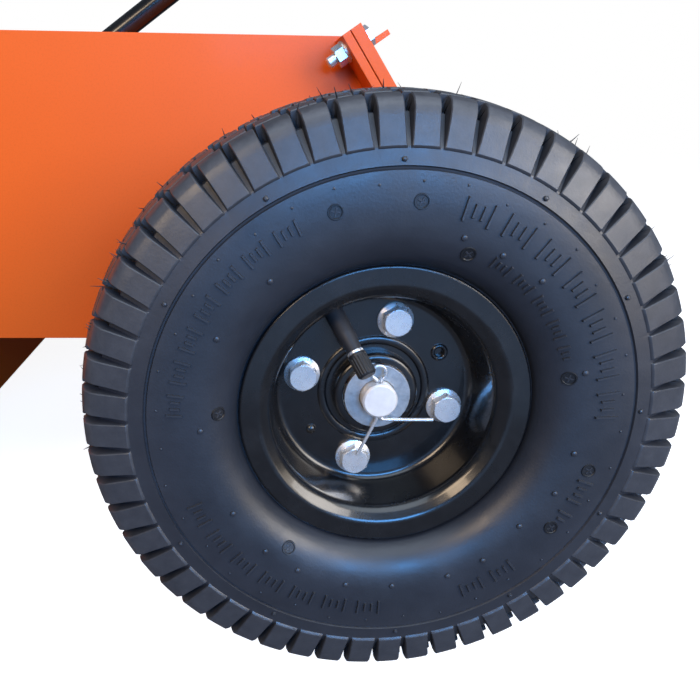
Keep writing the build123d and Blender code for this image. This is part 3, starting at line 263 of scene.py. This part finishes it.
ORANGE = (0.84, 0.118, 0.006)
ORANGE_SHADE = (0.79, 0.106, 0.005)
BLACK = (0.012, 0.012, 0.013)
COWL_BLACK = (0.016, 0.016, 0.018)
COWL_SHADE = (0.022, 0.022, 0.024)
LOOKS = {
    "orange_paint": powder_coat("orange_powder_coat", ORANGE, ORANGE_SHADE, 0.48, 0.05, 0.28),
    "black_paint": gloss_black(),
    "cowl_paint": powder_coat("black_cowl_paint", COWL_BLACK, COWL_SHADE, 0.36, 0.3, 0.5),
    "zinc_plate": zinc(),
    "machined_steel": machined(),
    "tyre_rubber": tyre_rubber(),
    "soft_rubber": plain_rubber("soft_rubber", (0.014, 0.014, 0.016), 0.55),
    "black_plastic": moulded_plastic("grained_plastic", BLACK, 0.45),
    "cast_aluminium": cast_metal(),
    "muffler_steel": muffler_steel(),
    "plug_ceramic": ceramic(),
}
SPECIAL = {"axle_washers": dull_zinc()}


# ---- rear tyres -----------------------------------------------------------------------------------
LUGS = 56
CROWN_R, CROWN_DROP, CROWN_HALF = 132.9, 5.2, 33.0
GAP_DEPTH = 7.0
ROW_SHIFT = 0.18          # of a pitch, between neighbouring rows of blocks
BLOCK_BEVEL = 0.35
SIPE_DEPTH = 2.2
LUG_PHASE = 0.92          # of a pitch, where the first gap stands from forward
BEVEL_TURN = 0.03         # of a pitch, bevel at each side of a gap


def crown(y):
    """Radius of the tread's top surface at a distance from the tyre's middle plane."""
    return CROWN_R - CROWN_DROP * (y / CROWN_HALF) ** 2


def station(r, y, top, deep, gap, shift, sipe, dust):
    """One place of the tyre's section, with its surface height, gap depth and width, sipe and dust."""
    return dict(r=r, y=y, top=top, deep=deep, gap=gap, shift=shift, sipe=sipe, dust=dust)


def block(y0, y1, shift, gap, sipe=0.0):
    """Stations across one row of tread blocks, with a bevel at both sides."""
    b = BLOCK_BEVEL
    rows = [(y0, -b), (y0 + b, 0.0), ((y0 + y1) / 2, 0.0), (y1 - b, 0.0), (y1, -b)]
    return [station(crown(y), y, h, GAP_DEPTH, gap, shift, sipe, 0.75) for y, h in rows]


def furrow(y0, y1, depth, shift, gap):
    """Stations down and up a groove that runs round the tyre between two rows; their low dust of 0.15 is a painted
    shade in the groove.
    """
    deep = max(depth, GAP_DEPTH)
    # painted shade: dust 0.15 darkens the groove floor
    return [station(crown(y), y, -depth, deep, gap, shift, 0.0, 0.15) for y in (y0 + 0.2, y1 - 0.2)]


def half_section():
    """Stations from the tyre's middle plane to the bead: place, heights, gap width, row shift and dust."""
    s, cut = ROW_SHIFT, SIPE_DEPTH
    made = [station(crown(0), 0, 0, GAP_DEPTH, 0.12, -3 * s, cut, 0.75)]
    made += block(0.4, 6.4, -3 * s, 0.12, cut)[2:] + furrow(6.4, 8.2, 5.0, -2.5 * s, 0.12)
    made += block(8.2, 15.6, -2 * s, 0.12, cut) + furrow(15.6, 16.8, 4.2, -1.5 * s, 0.12)
    made += block(16.8, 24.4, -s, 0.125) + furrow(24.4, 25.5, 3.6, -0.5 * s, 0.13)
    made += block(25.5, 30.2, 0.0, 0.13)[:3]
    # painted shade: the ring groove at r 101.9 to 102.6 gets no dust against 0.1 to 0.12 beside it, so it comes
    # out darker
    side = [  # radius, Y, groove depth, gap, dust
        (128.3, 30.2, 6.6, 0.132, 0.8), (127.6, 31.3, 6.5, 0.134, 0.85), (125.6, 33.0, 6.0, 0.134, 0.85),
        (124.4, 33.8, 5.6, 0.132, 0.6), (121.0, 34.7, 4.7, 0.125, 0.5), (117.5, 35.6, 3.5, 0.112, 0.5),
        (114.0, 36.5, 2.2, 0.098, 0.5), (111.6, 37.1, 1.3, 0.085, 0.5), (110.3, 37.4, 0.9, 0.08, 0.55),
        (109.7, 37.2, 0.6, 0.075, 0.45), (109.2, 36.8, 0.05, 0.07, 0.2), (107.5, 37.1, 0, 0.07, 0.15),
        (104.5, 37.8, 0, 0.07, 0.12), (103.1, 38.1, 0, 0.07, 0.12), (102.6, 37.3, 0, 0.07, 0.0),
        (101.9, 37.2, 0, 0.07, 0.0), (101.4, 38.3, 0, 0.07, 0.1), (98.5, 38.65, 0, 0.07, 0.06),
        (95.0, 38.85, 0, 0.07, 0.04), (91.0, 39.0, 0, 0.07, 0.02), (87.0, 39.0, 0, 0.07, 0.0),
        (82.0, 38.6, 0, 0.07, 0.0), (77.0, 37.9, 0, 0.07, 0.0), (72.5, 36.1, 0, 0.07, 0.0),
        (69.0, 33.9, 0, 0.07, 0.0), (66.4, 31.2, 0, 0.07, 0.0), (65.0, 28.8, 0, 0.07, 0.0),
        (64.4, 27.2, 0, 0.07, 0.0), (64.2, 25.4, 0, 0.07, 0.0), (62.5, 24.9, 0, 0.07, 0.0),
        (56.6, 24.6, 0, 0.07, 0.0), (52.4, 20.4, 0, 0.07, 0.0), (52.0, 12.5, 0, 0.07, 0.0),
    ]
    return made + [station(r, y, 0, deep, gap, 0.0, 0.0, dust) for r, y, deep, gap, dust in side]


def outward(stations):
    """Unit normals, as radius and Y, of the section's top surface."""
    at = np.array([(s["r"], s["y"]) for s in stations])
    along = np.gradient(at, axis=0)
    normal = np.stack([along[:, 1], -along[:, 0]], 1)
    return normal / np.linalg.norm(normal, axis=1, keepdims=True)


def tube_walls(rows, count):
    """Faces between closed rows of vertices, in order."""
    return [(i * count + k, i * count + (k + 1) % count, (i + 1) * count + (k + 1) % count,
             (i + 1) * count + k) for i in range(rows - 1) for k in range(count)]


def tyre_surface():
    """Vertices, faces and dust of the tread and both sidewalls, in millimetres about the wheel's centre; gap and
    sipe floors keep only a little dust, a painted shade.
    """
    half = half_section()
    other = [dict(s, y=-s["y"]) for s in half[1:]]
    stations = other[::-1] + half
    normals = outward(stations)
    turns = [(lug, key) for lug in range(LUGS) for key in range(12)]
    bevel, step = BEVEL_TURN, 1.0 / LUGS
    verts, dust = [], []
    for s, n in zip(stations, normals):
        gap, low = s["gap"], s["gap"] * 0.66
        keys = (-gap - bevel, -gap, -low, low, gap, gap + bevel, 0.33, 0.465, 0.485, 0.515, 0.535, 0.67)
        edge = min(0.4, s["deep"] * 0.2)
        cut = min(-s["deep"], s["top"])
        heights = [s["top"], s["top"] - edge, cut, cut, s["top"] - edge, s["top"], s["top"], s["top"],
                   s["top"] - s["sipe"], s["top"] - s["sipe"], s["top"], s["top"]]
        for lug, key in turns:
            turn = 2 * pi * step * (lug + LUG_PHASE + keys[key] + s["shift"])
            h = heights[key]
            r, y = s["r"] + n[0] * h, s["y"] + n[1] * h
            verts.append((r * cos(turn), y, r * sin(turn)))
            # painted shade: floors of the gaps and sipes deeper than 0.5 mm keep 0.15 of their dust, so they come
            # out darker
            dust.append(s["dust"] * (0.15 if key in (2, 3, 8, 9) and h < -0.5 else 1.0))
    rows, columns = len(stations), len(turns)
    faces = tube_walls(rows, columns)
    last = (rows - 1) * columns
    faces += [(last + k, last + (k + 1) % columns, (k + 1) % columns, k) for k in range(columns)]
    return verts, faces, dust


SIDE_TABLE = [(s["r"], s["y"]) for s in half_section() if s["y"] > 24 and 64.0 < s["r"] < 110]


def side_frame(t, r):
    """Point on the outer sidewall at an angle and radius, its normal, and its tangent, in millimetres."""
    radii, ys = zip(*sorted(SIDE_TABLE))
    y = float(np.interp(r, radii, ys))
    slope = float(np.interp(r + 1.5, radii, ys) - np.interp(r - 1.5, radii, ys)) / 3
    a = radians(t)
    normal = Vector((-slope * cos(a), 1, -slope * sin(a))).normalized()
    tangent = Vector((-sin(a), 0, cos(a)))
    return Vector((r * cos(a), y, r * sin(a))), normal, tangent


class Marks:
    """Small raised shapes laid on the outer sidewall, gathered as one list of vertices and faces."""

    def __init__(self):
        self.verts, self.faces, self.dust = [], [], []

    def loops(self, place, loops, dust):
        """A stack of closed loops of (tangent, radial, height), bridged, with the last one capped."""
        t, r = place
        at, up, along = side_frame(t, r)
        across = along.cross(up)
        start, count = len(self.verts), len(loops[0])
        for loop in loops:
            for u, v, h in loop:
                self.verts.append(tuple(at + along * u + across * v + up * h))
                self.dust.append(dust)
        for i in range(len(loops) - 1):
            for k in range(count):
                a, b = start + i * count + k, start + i * count + (k + 1) % count
                self.faces.append((a, b, b + count, a + count))
        self.faces.append(tuple(start + (len(loops) - 1) * count + k for k in range(count)))

    def pip(self, place, r, h):
        """A small round mould mark, r wide and h high."""
        ring = [(cos(2 * pi * k / 10), sin(2 * pi * k / 10)) for k in range(10)]
        steps = ((r, -0.2), (r * 0.8, h * 0.7), (r * 0.35, h))
        self.loops(place, [[(x * q, y * q, z) for x, y in ring] for q, z in steps], 0.1)

    def bar(self, place, width, length, h, turn=0.0):
        """A rib with bevelled edges; length runs along the radius unless turned."""
        c, s = cos(radians(turn)), sin(radians(turn))
        loops = []
        for inset, z in ((0.0, -0.25), (0.22, h)):
            u, v = width / 2 - inset, length / 2 - inset
            corners = ((-u, -v), (u, -v), (u, v), (-u, v))
            loops.append([(c * x - s * y, s * x + c * y, z) for x, y in corners])
        self.loops(place, loops, 0.12)

    def screw(self, place, r):
        """A mould screw's print: a raised rim round a dish with a cross in it. Rim and dish carry dust -0.6, which
        the rubber turns near black: a painted shade in the dish.
        """
        ring = [(cos(2 * pi * k / 20), sin(2 * pi * k / 20)) for k in range(20)]
        steps = ((r, -0.25), (r * 0.92, 0.4), (r * 0.78, 0.4), (r * 0.70, 0.05))
        # painted shade: dust -0.6 makes the rim and dish near black
        self.loops(place, [[(x * q, y * q, z) for x, y in ring] for q, z in steps], -0.6)
        for turn in (25, 115):
            self.bar(place, r * 0.28, r * 1.15, 0.3, turn)


def rib_run(marks, first, last, r, length, pitch, height):
    """Plain ribs along an arc of the sidewall: long, short, short, long, and a gap."""
    count = max(2, round(abs(radians(last - first)) * r / pitch))
    for k in range(count + 1):
        t = first + (last - first) * k / count
        part = k % 5
        if part < 4:
            size = length if part in (0, 3) else length * 0.6
            marks.bar((t, r), 1.2, size, height)


def sidewall_marks():
    """Screw prints, pips and runs of ribs, by angle in degrees from forward and radius."""
    marks = Marks()
    screws = ((72, 90), (93, 90), (110, 74), (166, 75), (2, 72), (-165, 89.5), (-145.5, 89.5), (-56, 73.5))
    for place in screws:
        marks.screw(place, 3.3)
    for t in (28, 59, 88.5, 120, 150, 178, -155, -125, -95, -63.5, -33):
        marks.pip((t, 105.3), 1.2, 1.1)
    for t in (26, 48.5, 106.5, 119, 133, 165, -169, -155, -140, -124, -112, -94, -79, -62.5, -50, -33, -3):
        marks.pip((t, 79.8 + 1.4 * sin(t)), 1.4, 0.9)
    for k in range(36):
        marks.pip((k * 10 + 3, 97.5 + 1.2 * sin(k * 2.1)), 0.6, 0.5)
    for first, last, r, length, pitch in (
            (104, 179, 90.0, 9.6, 3.6), (2, 64, 90.0, 7.0, 2.9), (118, 159, 75.5, 5.0, 2.5),
            (-161.5, -149, 90.5, 7.6, 3.2), (-130, -112.5, 90.5, 7.0, 3.1), (-90, -25, 90.5, 7.0, 3.1)):
        rib_run(marks, first, last, r, length, pitch, 0.95)
    return marks


def whiskers():
    """Thin rubber hairs left by the mould's vents, leaning at the edges of the tread blocks."""
    verts, faces = [], []
    rng = np.random.default_rng(7)
    for k in range(150):
        turn = radians(-40 + 260 * rng.random())
        y = float(rng.choice([-24.8, -16.2, -7.3, 7.3, 16.2, 24.8])) + rng.normal() * 0.5
        foot_r, top_r = crown(y) - 1.2, min(132.9, crown(y) + 0.2 + 1.8 * rng.random())
        if 15 < degrees(turn) < 165:
            top_r += 4.2 * rng.random() ** 2
        lean = rng.normal(size=2) * (0.012, 0.8)
        thick = 0.22 + 0.2 * rng.random()
        start = len(verts)
        for r, a, w, size in ((foot_r, turn, y, thick), (top_r, turn + lean[0], y + lean[1], thick * 0.25)):
            centre = Vector((r * cos(a), w, r * sin(a)))
            for q in range(4):
                c, s = cos(q * pi / 2) * size, sin(q * pi / 2) * size
                verts.append(tuple(centre + Vector((-sin(a) * c, s, cos(a) * c))))
        faces += [tuple(start + v for v in face) for face in tube_walls(2, 4)]
        faces += [tuple(start + 4 + q for q in range(4)), tuple(start + q for q in reversed(range(4)))]
    return verts, faces


def build_mesh(name, parts, place, flip):
    """One mesh object from (vertices, faces, dust) parts in millimetres about a place; flip mirrors Y."""
    verts, faces, dust = [], [], []
    for part_verts, part_faces, part_dust in parts:
        start = len(verts)
        verts += [(x, -y if flip else y, z) for x, y, z in part_verts]
        faces += [tuple(start + v for v in (reversed(f) if flip else f)) for f in part_faces]
        dust += part_dust
    mesh = bpy.data.meshes.new(name)
    mesh.from_pydata([tuple(place + Vector(v) * MM) for v in verts], [], faces)
    layer = mesh.attributes.new("dust", "FLOAT", "POINT")
    layer.data.foreach_set("value", dust)
    edit = bmesh.new()
    edit.from_mesh(mesh)
    bmesh.ops.recalc_face_normals(edit, faces=edit.faces)
    edit.to_mesh(mesh)
    edit.free()
    mesh.shade_smooth()
    mesh.set_sharp_from_angle(angle=radians(28))
    piece = bpy.data.objects.new(name, mesh)
    bpy.context.scene.collection.objects.link(piece)
    return piece


def make_tyres():
    surface, marks = tyre_surface(), sidewall_marks()
    hair_verts, hair_faces = whiskers()
    hairs = (hair_verts, hair_faces, [0.0] * len(hair_verts))
    parts = [surface, (marks.verts, marks.faces, marks.dust), hairs]
    for side in ("left", "right"):
        tyre = build_mesh(f"treaded_tyre_{side}", parts, joint_place(f"wheel_spin_{side}"), side == "right")
        tyre.data.materials.append(LOOKS["tyre_rubber"])
        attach(tyre, f"wheel_{side}")
        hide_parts(f"tyre_{side}")


COLLAR_FOOT = Vector((13.63, 20.43, 24.69))      # end of the valve's rubber, from the wheel's centre
COLLAR_WAY = Vector((-0.391, 0.588, -0.708)).normalized()


def valve_collars():
    """The bright metal ring between each valve's rubber and its cap."""
    side = COLLAR_WAY.orthogonal().normalized()
    across = COLLAR_WAY.cross(side)
    verts, faces, count = [], [], 24
    for r, along in ((2.9, -0.1), (3.45, 0.1), (3.65, 0.4), (3.65, 1.3), (3.4, 1.6), (2.9, 1.75)):
        for k in range(count):
            a = 2 * pi * k / count
            out = side * (r * cos(a)) + across * (r * sin(a))
            verts.append(tuple(COLLAR_FOOT + out + COLLAR_WAY * along))
    rows = len(verts) // count
    faces = tube_walls(rows, count)
    faces += [tuple(range(count)), tuple(range((rows - 1) * count, rows * count))]
    for name in ("left", "right"):
        part = (verts, faces, [0.0] * len(verts))
        centre = joint_place(f"wheel_spin_{name}")
        collar = build_mesh(f"valve_collar_{name}", [part], centre, name == "right")
        collar.data.materials.append(LOOKS["zinc_plate"])
        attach(collar, f"wheel_{name}")


make_tyres()
valve_collars()

# ---- materials on the CAD pieces ------------------------------------------------------------------
slots = {part["node"]: part["material_slot"] for part in frame["record"]["subparts"]}
for name, piece in nodes.items():
    look = SPECIAL.get(name, LOOKS[slots[name]])
    piece.data.materials.clear()
    piece.data.materials.append(look)


# ---- floor, light and camera ----------------------------------------------------------------------
def make_floor():
    """A pale floor that lights the machine from below only a little."""
    bpy.ops.mesh.primitive_plane_add(size=30, location=(0, 0, -0.0005))
    floor = bpy.context.object
    floor.name = "floor"
    look = Look("pale_floor").set(Roughness=0.9, Specular_IOR_Level=0.1, Emission_Strength=0.9)
    look.set(Emission_Color=(1.0, 1.0, 1.0))
    look.link("Base_Color", look.ramp(look.noise(3, 3), (0.3, 0.86), (0.8, 0.88)))
    tree = look.material.node_tree
    shader = look.shader
    dim = tree.nodes.new("ShaderNodeBsdfDiffuse")
    dim.inputs["Color"].default_value = (0.16, 0.16, 0.17, 1)
    pick, path = tree.nodes.new("ShaderNodeMixShader"), tree.nodes.new("ShaderNodeLightPath")
    tree.links.new(path.outputs["Is Camera Ray"], pick.inputs["Fac"])
    tree.links.new(dim.outputs["BSDF"], pick.inputs[1])
    tree.links.new(shader.outputs["BSDF"], pick.inputs[2])
    tree.links.new(pick.outputs["Shader"], tree.nodes["Material Output"].inputs["Surface"])
    floor.data.materials.append(look.material)


SOFTBOXES = (  # name, place and aim from the wheel's centre, size, watts, colour
    ("sky_softbox", (-0.3, 0.9, 2.2), (0, 0, 0), (2.8, 2.0), 46, (0.74, 0.86, 1.0)),
    ("key_softbox", (-1.9, 1.7, 1.1), (0, 0, 0), (1.3, 1.3), 50, (1.0, 0.94, 0.88)),
    ("warm_front_softbox", (1.5, 2.0, 1.3), (0.3, 0, 0.1), (1.0, 1.0), 33, (1.0, 0.76, 0.52)),
    ("blue_sky_card", (-0.45, 2.2, 0.75), (0, 0, 0), (1.2, 0.7), 50, (0.12, 0.42, 1.0)),
    ("blue_floor_card", (-0.1, 0.36, -0.125), (0, 0, 0), (0.5, 0.3), 0.2, (0.35, 0.60, 1.0)),
    ("low_warm_fill", (-1.6, 1.4, 0.15), (0, 0, 0), (1.0, 0.5), 5, (1.0, 0.84, 0.66)),
)


def area_light(name, place, aim, size, power, colour):
    lamp = bpy.data.lights.new(name, "AREA")
    lamp.shape, lamp.size, lamp.size_y = "RECTANGLE", *size
    lamp.energy, lamp.color = power, colour
    holder = bpy.data.objects.new(name, lamp)
    holder.location = place
    holder.rotation_euler = (Vector(aim) - Vector(place)).to_track_quat("-Z", "Y").to_euler()
    holder.visible_camera = False
    bpy.context.scene.collection.objects.link(holder)


def make_light():
    world = bpy.data.worlds.new("studio")
    bpy.context.scene.world = world
    world.use_nodes = True
    tree = world.node_tree
    background = tree.nodes["Background"]
    background.inputs["Color"].default_value = (0.70, 0.83, 1.0, 1)
    background.inputs["Strength"].default_value = 0.16
    white = tree.nodes.new("ShaderNodeBackground")
    white.inputs["Color"].default_value = (1, 1, 1, 1)
    white.inputs["Strength"].default_value = 1.0
    seen, path = tree.nodes.new("ShaderNodeMixShader"), tree.nodes.new("ShaderNodeLightPath")
    tree.links.new(path.outputs["Is Camera Ray"], seen.inputs["Fac"])
    tree.links.new(background.outputs["Background"], seen.inputs[1])
    tree.links.new(white.outputs["Background"], seen.inputs[2])
    tree.links.new(seen.outputs["Shader"], tree.nodes["World Output"].inputs["Surface"])
    wheel = joint_place("wheel_spin_left")
    for name, place, aim, size, power, colour in SOFTBOXES:
        area_light(name, wheel + Vector(place), wheel + Vector(aim), size, power, colour)



CAMERA_OFFSET = Vector((70.4, 291.5, 111.7)) * MM
CAMERA_AZIMUTH, CAMERA_ELEVATION, CAMERA_ROLL = radians(2.39), radians(16.17), radians(0.7)
LENS, SHIFT_X, SHIFT_Y = 34.34, 0.1441, -0.0249


def make_camera():
    """A close view of the left rear wheel from outside and a little above."""
    a, e = CAMERA_AZIMUTH, CAMERA_ELEVATION
    back = Vector((sin(a) * cos(e), cos(a) * cos(e), sin(e)))
    right = Vector((0, 0, 1)).cross(back).normalized()
    up = back.cross(right)
    turned_right = right * cos(CAMERA_ROLL) + up * sin(CAMERA_ROLL)
    turned_up = up * cos(CAMERA_ROLL) - right * sin(CAMERA_ROLL)
    data = bpy.data.cameras.new("camera")
    data.lens, data.sensor_width = LENS, 36.0
    data.shift_x, data.shift_y = SHIFT_X, SHIFT_Y
    data.clip_start, data.clip_end = 0.01, 100
    camera = bpy.data.objects.new("camera", data)
    turn = Matrix((turned_right, turned_up, back)).transposed()
    camera.matrix_world = Matrix.Translation(joint_place("wheel_spin_left") + CAMERA_OFFSET) @ turn.to_4x4()
    bpy.context.scene.collection.objects.link(camera)
    bpy.context.scene.camera = camera


make_floor()
make_light()
make_camera()
bpy.context.scene.view_settings.view_transform = "Standard"
